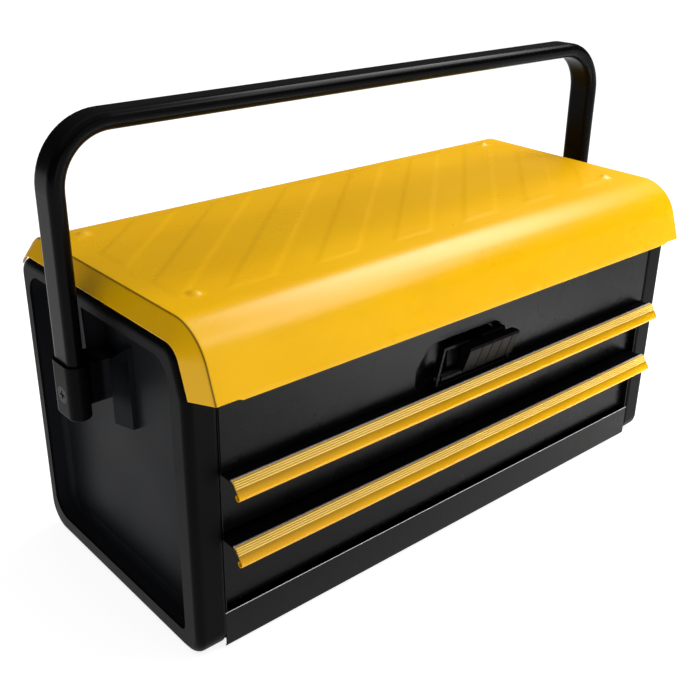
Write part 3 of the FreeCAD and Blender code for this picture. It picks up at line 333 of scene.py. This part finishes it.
def makeLid(s):
    middle, tailRow = lidSection(s["middle"], s["rows"])
    end = lidSection(s["end"], s["rows"])[0]
    columns = s["columns"]
    near = np.array(columns["near"])
    inside = np.arange(0, s["fold"] - columns["clear"], columns["step"])
    side = np.concatenate([inside[1:], s["fold"] - near[::-1], [s["fold"]], s["fold"] + near,
                           [s["fold"] + columns["flare"]], s["reach"] - np.array(columns["end"])])
    x = np.concatenate([-side[::-1], [0], side])
    away = np.abs(x)
    f = np.clip((away - s["fold"]) / (s["reach"] - s["fold"]), 0, 1)
    section = middle[:, :, None] * (1 - f) + end[:, :, None] * f
    y, z, ny, nz = section
    flat = np.clip(nz, 0, 1) ** s["fade"]  # the relief dies away where the sheet turns down
    bar, dome, hem = s["stripes"], s["domes"], s["hem"]
    soft = bar["soft"]
    across = np.mod(x[None, :] - bar["lean"] * (y - bar["front"]) - bar["first"], bar["pitch"])
    band = smoothStep(-soft, soft, across) * smoothStep(-soft, soft, bar["width"] - across)
    band = np.maximum(band, smoothStep(-soft, soft, across - bar["pitch"]))
    band *= smoothStep(-soft, soft, y - bar["front"]) * smoothStep(-soft, soft, bar["rear"] - y)
    band *= smoothStep(-soft, soft, hem["half"] - away)[None, :]
    relief = bar["height"] * band * flat
    for place in (dome["front"], dome["rear"]):
        far = np.hypot(away[None, :] - dome["x"], y - place) / dome["radius"]
        relief = relief + dome["height"] * (1 - smoothStep(dome["crown"], 1, far)) * flat
    line = np.exp(-((away - s["fold"]) / s["line"]["width"]) ** 2)[None, :] * np.ones_like(y)
    relief = relief - s["line"]["depth"] * line
    lower = np.zeros_like(y)
    lower[:len(s["rows"]["hem"])] = hem["drop"] * smoothStep(-hem["soft"], hem["soft"], hem["half"] - away)
    y = y + ny * relief - lower * nz[0] * hem["lean"]
    z = z + nz * relief - lower
    points = np.stack([np.broadcast_to(x, y.shape), y + s["shift"], z], -1).reshape(-1, 3) * mm
    faces = gridFaces(*y.shape)
    keep = np.ones(faces.shape[:2], bool)
    keep[tailRow:, np.minimum(away[:-1], away[1:]) > s["fold"] - slack] = False
    skin = newPiece("lidSkin", points, faces[keep], finishes["yellow_paint"], "lid")
    # the fine line's share, kept as fold, darkens the paint along the fold: painted shade in the crease
    fold = skin.data.attributes.new("fold", "FLOAT", "POINT")
    fold.data.foreach_set("value", line.ravel().astype(np.float32))
    sheet = skin.modifiers.new("sheet", "SOLIDIFY")
    sheet.thickness = s["gauge"] * mm
    sheet.offset = -1
    sheet.use_even_offset = True
    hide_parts("lid_shell")
    print("lid skin:", len(points), "points")


makeLid(lidSettings)

# End caps: each is a merged copy of the moulded cap with a tighter edge to its recess and squarer lower
# front corners. The edge's round is scaled about the recess outline, a rounded box with d its signed
# distance: d' = s d, depth' = s depth. A corner of radius R becomes one of radius qR by a push along its
# rays, p' = c + (p - c)(1 + (k - 1) w), where k is the distance to the new corner along the ray and w is 1
# near the old arc and fades away from it.
capSettings = {
    "sides": ("left", "right"), "face": 250.0, "weld": 0.001, "square": 0.9999,
    "recess": {"corner": 16.0, "edge": 5.0, "newEdge": 2.0},
    "outer": {"radius": 22.0, "ratio": 0.68, "near": (0.30, 0.70), "far": (1.4, 1.8)},
    "inner": {"radius": 16.0, "ratio": 0.38, "near": (0.40, 0.92), "far": (1.35, 2.1)},
}


# c and s are the cosine and sine of a point's ray; a is where the new corner's centre lies, in old radii
def squareCorner(points, centre, corner):
    rays = (centre - points[:, 1:]) / corner["radius"]
    far = np.hypot(rays[:, 0], rays[:, 1])
    inside = (rays > 0).all(1)
    unmoved = 0.7  # any ray will do for the points outside the corner, because w is 0 there
    c, s = (np.where(inside, rays[:, i] / np.maximum(far, tiny), unmoved) for i in (0, 1))
    a = 1 - corner["ratio"]
    straight = 1 / np.maximum(c, s)
    arc = a * (c + s) + np.sqrt(np.maximum((a * (c + s)) ** 2 - 2 * a * a + corner["ratio"] ** 2, 0))
    k = np.where(np.minimum(c, s) * straight < a, straight, arc)
    w = smoothStep(*corner["near"], far) * (1 - smoothStep(*corner["far"], far)) * inside
    points[:, 1:] = centre - (centre - points[:, 1:]) * (1 + (k - 1) * w)[:, None]


def makeCap(s, side):
    node = "end_cap_" + side
    mesh = nodes[node].data.copy()
    mesh.name = node + "_skin"
    shell = bmesh.new()
    shell.from_mesh(mesh)
    bmesh.ops.remove_doubles(shell, verts=shell.verts, dist=s["weld"] * mm)
    shell.to_mesh(mesh)
    shell.free()
    points = np.empty(len(mesh.vertices) * 3)
    mesh.vertices.foreach_get("co", points)
    points = points.reshape(-1, 3) / mm
    low, high = (np.array(corner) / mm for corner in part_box(node))
    first = np.array([low[1] + capRim["front"], low[2] + capRim["bottom"]])
    last = np.array([high[1] - capRim["rear"], high[2] - capRim["top"]])
    recess = s["recess"]
    offset = points[:, 1:] - (first + last) / 2
    over = np.maximum(np.abs(offset) - (last - first) / 2 + recess["corner"], 0)
    beyond = np.hypot(over[:, 0], over[:, 1])
    away = beyond - recess["corner"]
    depth = s["face"] - np.abs(points[:, 0])
    reach = recess["edge"] + slack
    rounded = (away > -slack) & (away < reach) & (depth < reach)
    shrink = np.where(rounded, recess["newEdge"] / recess["edge"], 1)
    outwards = np.sign(offset) * over / np.maximum(beyond, tiny)[:, None]
    points[:, 1:] -= outwards * (away * (1 - shrink))[:, None]
    points[:, 0] = np.sign(points[:, 0]) * (s["face"] - depth * shrink)
    squareCorner(points, np.array([low[1], low[2]]) + s["outer"]["radius"], s["outer"])
    squareCorner(points, first + s["inner"]["radius"], s["inner"])
    mesh.vertices.foreach_set("co", (points * mm).ravel())
    mesh.update()
    normals = np.empty(len(mesh.polygons) * 3)
    mesh.polygons.foreach_get("normal", normals)
    square = np.abs(normals.reshape(-1, 3)).max(1) > s["square"]
    mesh.set_sharp_from_angle(angle=creaseAngle)
    mesh.polygons.foreach_set("use_smooth", ~square)  # flat faces keep their own shade beside the rounds
    piece = bpy.data.objects.new(node + "_skin", mesh)
    bpy.context.scene.collection.objects.link(piece)
    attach(piece, "case")
    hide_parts(node)
    print("cap:", side, len(points), "points,", int(rounded.sum()), "on the recess edge")


for capSide in capSettings["sides"]:
    makeCap(capSettings, capSide)

# Drawer rails, one extruded strip each. The section starts at the shelf's edge and runs down a slope with
# four rounded ridges, h(t) = height * (1 - (2t - 1)^2) across each, then round a rolled nose and back up
# inside it. It is closed by the same path one wall further in, and carried straight along x. The ridges are
# painted pale above one share of their height, a painted highlight, and dark below another, painted shade in
# the grooves. A steel strip clips the rail to the shelf; its pale zinc is a painted highlight along the
# shelf's edge.
railSettings = {
    "bodies": ("drawer_upper", "drawer_lower"), "lip": 0.6, "wall": 0.7, "nose": 7.3, "roll": 2.4,
    "crown": 2.0, "turn": -185, "turnPoints": 40, "leg": 0.8,
    "ridges": {"count": 4, "start": 0.4, "pitch": 1.5, "height": 0.5, "points": 11, "groove": 0.004,
               # pale and dark: shares of a ridge's height that take the painted highlight and the painted
               # shade
               "pale": (0.25, 0.85), "dark": (0.0, 0.3)},
    "clip": {"reach": 2.4, "thick": 1.2, "edge": 0.3, "gap": 0.02},
}


# the outline (forward, up) from the crest, in millimetres, carried from one x to the other
def makeStrip(name, outline, crest, ends, finish, body):
    count = len(outline)
    low, high = ends
    y, z = crest[1] - outline[:, 0] * mm, crest[2] + outline[:, 1] * mm
    points = np.concatenate([np.stack([np.full(count, x), y, z], -1) for x in (low, high)])
    index = np.arange(count)
    after = np.roll(index, -1)
    sides = np.stack([index, after, after + count, index + count], -1).tolist()
    caps = [index[::-1].tolist(), (index + count).tolist()]
    return newPiece(name, points, sides + caps, finish, body)


def makeRail(s, body):
    low, high = (np.array(corner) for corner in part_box(body + "_pull"))
    drop = (high[2] - low[2]) / mm
    roll, wall = s["roll"], s["wall"]
    centre = np.array([s["nose"] - roll, roll - drop])
    far = np.hypot(*centre)
    bearing = math.atan2(centre[1], centre[0]) + math.asin(roll / far)  # the slope touches the roll
    along = np.array([math.cos(bearing), math.sin(bearing)])
    normal = np.array([-along[1], along[0]])
    ridge = s["ridges"]
    t = np.tile(np.linspace(0, 1, ridge["points"]), ridge["count"])
    number = np.repeat(np.arange(ridge["count"]), ridge["points"])
    run = ridge["start"] + (number + np.clip(t, ridge["groove"], 1 - ridge["groove"])) * ridge["pitch"]
    rise = 1 - (2 * t - 1) ** 2
    ridges = run[:, None] * along + (ridge["height"] * rise)[:, None] * normal
    phi = np.linspace(bearing + math.pi / 2, math.radians(s["turn"]), s["turnPoints"])
    curl = np.stack([np.cos(phi), np.sin(phi)], -1)
    leg = np.array([math.sin(phi[-1]), -math.cos(phi[-1])]) * s["leg"]
    inner = (s["crown"] - wall * normal[1]) / -along[1]  # where the inside meets the underside of the crown
    shelf = [(-s["lip"], 0), (0, 0)]
    outline = np.concatenate([
        shelf, ridges, centre + roll * curl, [centre + roll * curl[-1] + leg],
        [centre + (roll - wall) * curl[-1] + leg], centre + (roll - wall) * curl[::-1],
        [inner * along - wall * normal, (-s["lip"], -s["crown"])]])
    crest = np.array([0, low[1] + s["nose"] * mm, high[2]])
    ends = low[0], high[0]
    rail = makeStrip(body + "_rail", outline, crest, ends, finishes["yellow_pull"], body)
    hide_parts(body + "_pull")
    # crest is a painted highlight on the ridges' tops, fold painted shade in the grooves between them
    shares = {"crest": smoothStep(*ridge["pale"], rise), "fold": 1 - smoothStep(*ridge["dark"], rise)}
    for part, share in shares.items():
        values = np.zeros(len(outline), np.float32)
        values[len(shelf):len(shelf) + t.size] = share
        mark = rail.data.attributes.new(part, "FLOAT", "POINT")
        mark.data.foreach_set("value", np.tile(values, 2))
    # the clip strip's pale zinc is a painted highlight along the shelf's edge
    clip = s["clip"]
    edge = clip["edge"]
    back, front, foot = -clip["reach"], -s["lip"] - clip["gap"], -clip["thick"]
    strip = np.array([(back, foot), (back, -edge), (back + edge, 0),
                      (front - edge, 0), (front, -edge), (front, foot)])
    makeStrip(body + "_clip", strip, crest, ends, finishes["clip_steel"], body)
    print("rail:", body, len(outline), "points in its section")


for drawerBody in railSettings["bodies"]:
    makeRail(railSettings, drawerBody)

# Base apron, a bent strip that closes the gap under the front of the base pan: a flat front with a rolled
# lower edge, e(a) = centre + roll * (sin a, -cos a) for a quarter turn, carried straight along x between the
# end caps. A thin pale zinc strip along its top is a painted highlight on the apron's edge.
apronSettings = {
    "top": 30.0, "foot": 1.4, "proud": 0.3, "wall": 0.7, "roll": 1.6, "rollPoints": 8, "tuck": 1.0,
    "edge": {"height": 0.5, "proud": 0.45, "gap": 0.02, "chamfer": 0.1},
}


def makeApron(s):
    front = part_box("base_pan")[0][1]
    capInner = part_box("side_wall_right")[1][0] + s["tuck"] * mm  # its ends tuck behind the rounded posts
    fall = s["top"] - s["foot"]
    a = np.linspace(math.pi / 2, 0, s["rollPoints"])
    curl = np.stack([np.sin(a), -np.cos(a)], -1)
    centre = np.array([s["proud"] - s["roll"], s["roll"] - fall])
    outline = np.concatenate([[(s["proud"] - s["wall"], 0), (s["proud"], 0)], centre + s["roll"] * curl,
                              centre + (s["roll"] - s["wall"]) * curl[::-1]])
    crest = np.array([0, front, s["top"] * mm])
    ends = -capInner, capInner
    makeStrip("baseApron", outline, crest, ends, finishes["black_paint"], "case")
    edge = s["edge"]  # a pale strip along the top edge: a painted highlight
    back = s["proud"] + edge["gap"]
    paintedHighlightEdge = np.array([(back, 0), (edge["proud"], -edge["chamfer"]),
                     (edge["proud"], -edge["height"]), (back, -edge["height"])])
    makeStrip("baseEdge", paintedHighlightEdge, crest, ends, finishes["clip_steel"], "case")
    print("apron:", len(outline), "points in its section")


makeApron(apronSettings)

# Floor, one flat square, z = 0, far larger than the view. Matt white acrylic, lit from below as a light table
# is: it stays pale and takes only soft shadows.
floorSettings = {"half": 14.0, "colour": "#BCBCBB", "glow": 0.86, "rough": 0.9, "gloss": 0.1}


def makeFloor(settings):
    half = settings["half"]
    corners = [(-half, -half, 0), (half, -half, 0), (half, half, 0), (-half, half, 0)]
    mesh = bpy.data.meshes.new("studioFloor")
    mesh.from_pydata(corners, [], [(0, 1, 2, 3)])
    floor = bpy.data.objects.new("studioFloor", mesh)
    bpy.context.scene.collection.objects.link(floor)
    material, tree = newMaterial("white acrylic light table, matt")
    shader = addNode(tree, "ShaderNodeBsdfPrincipled", {
        "Base Color": hexColour(settings["colour"]), "Roughness": settings["rough"],
        "Specular IOR Level": settings["gloss"],
        "Emission Color": hexColour(white), "Emission Strength": settings["glow"]})
    addNode(tree, "ShaderNodeOutputMaterial", {"Surface": shader.outputs["BSDF"]})
    mesh.materials.append(material)


makeFloor(floorSettings)

# Soft studio light. The surround is dark at the horizon and bright overhead (its strength, and where its edge
# starts and ends on z), and boxes stand round the object (position, aim, size in metres, watts, spread in
# degrees).
lightSettings = {
    "horizon": 0.06,
    "overhead": {"strength": 0.55, "edge": (0.50, 0.85)},
    "boxes": {
        "key": ((0.80, 0.08, 1.20), (0, 0, 0.24), (0.9, 0.6), 13.5, 180),
        "front": ((0.45, -1.7, 0.85), (0, 0, 0.15), (1.2, 0.8), 2.2, 180),
        "frontLeft": ((-0.7, -1.6, 0.4), (-0.2, 0, 0.12), (0.5, 0.5), 1.5, 180),
        "frontRight": ((0.75, -0.70, 1.3), (-0.05, -0.1, 0.15), (0.5, 0.5), 5.0, 180),
        "floorPool": ((0.26, -0.52, 0.9), (0.24, -0.46, 0), (0.25, 0.25), 3.2, 40),
    },
}


def makeLights(settings):
    world = bpy.data.worlds.new("studioSurround")
    world.use_nodes = True
    tree = world.node_tree
    tree.nodes.clear()
    towards = addNode(tree, "ShaderNodeTexCoord").outputs["Generated"]
    height = addNode(tree, "ShaderNodeSeparateXYZ", {"Vector": towards}).outputs["Z"]
    low, high = settings["overhead"]["edge"]
    sky = addNode(tree, "ShaderNodeMapRange", {
        "Value": height, "From Min": low, "From Max": high, "To Min": settings["horizon"],
        "To Max": settings["overhead"]["strength"]}, interpolation_type="SMOOTHSTEP")
    seen = addNode(tree, "ShaderNodeLightPath").outputs["Is Camera Ray"]  # white past the floor's edge
    strength = addNode(tree, "ShaderNodeMath", {0: sky.outputs["Result"], 1: seen}, operation="MAXIMUM")
    background = addNode(tree, "ShaderNodeBackground", {
        "Color": hexColour(white), "Strength": strength.outputs[0]})
    addNode(tree, "ShaderNodeOutputWorld", {"Surface": background.outputs["Background"]})
    bpy.context.scene.world = world
    for name, (place, aim, size, watts, spread) in settings["boxes"].items():
        light = bpy.data.lights.new(name, "AREA")
        light.shape = "RECTANGLE"
        light.size, light.size_y = size
        light.energy = watts
        light.spread = math.radians(spread)
        lamp = bpy.data.objects.new(name, light)
        lamp.location = place
        lamp.rotation_euler = (Vector(aim) - Vector(place)).to_track_quat("-Z", "Y").to_euler()
        bpy.context.scene.collection.objects.link(lamp)


makeLights(lightSettings)

# camera: where the photograph was taken from, turned by azimuth, elevation and a slight roll (degrees)
cameraSettings = {"place": (-0.5220, -0.5554, 0.4835), "azimuth": -41.31, "elevation": 25.38, "roll": 0.91,
                  "lens": 52.11, "sensor": 36}


def makeCamera(settings):
    a, e, r = (math.radians(settings[key]) for key in ("azimuth", "elevation", "roll"))
    back = Vector((math.sin(a) * math.cos(e), -math.cos(a) * math.cos(e), math.sin(e)))
    right = Vector((0, 0, 1)).cross(back).normalized()
    up = back.cross(right)
    turned = math.cos(r) * right + math.sin(r) * up, math.cos(r) * up - math.sin(r) * right, back
    lens = bpy.data.cameras.new("photoCamera")
    lens.sensor_width = settings["sensor"]
    lens.lens = settings["lens"]
    camera = bpy.data.objects.new("photoCamera", lens)
    camera.matrix_world = Matrix.Translation(settings["place"]) @ Matrix(turned).transposed().to_4x4()
    bpy.context.scene.collection.objects.link(camera)
    bpy.context.scene.camera = camera


makeCamera(cameraSettings)
bpy.context.scene.view_settings.view_transform = "Standard"
print("stage set")
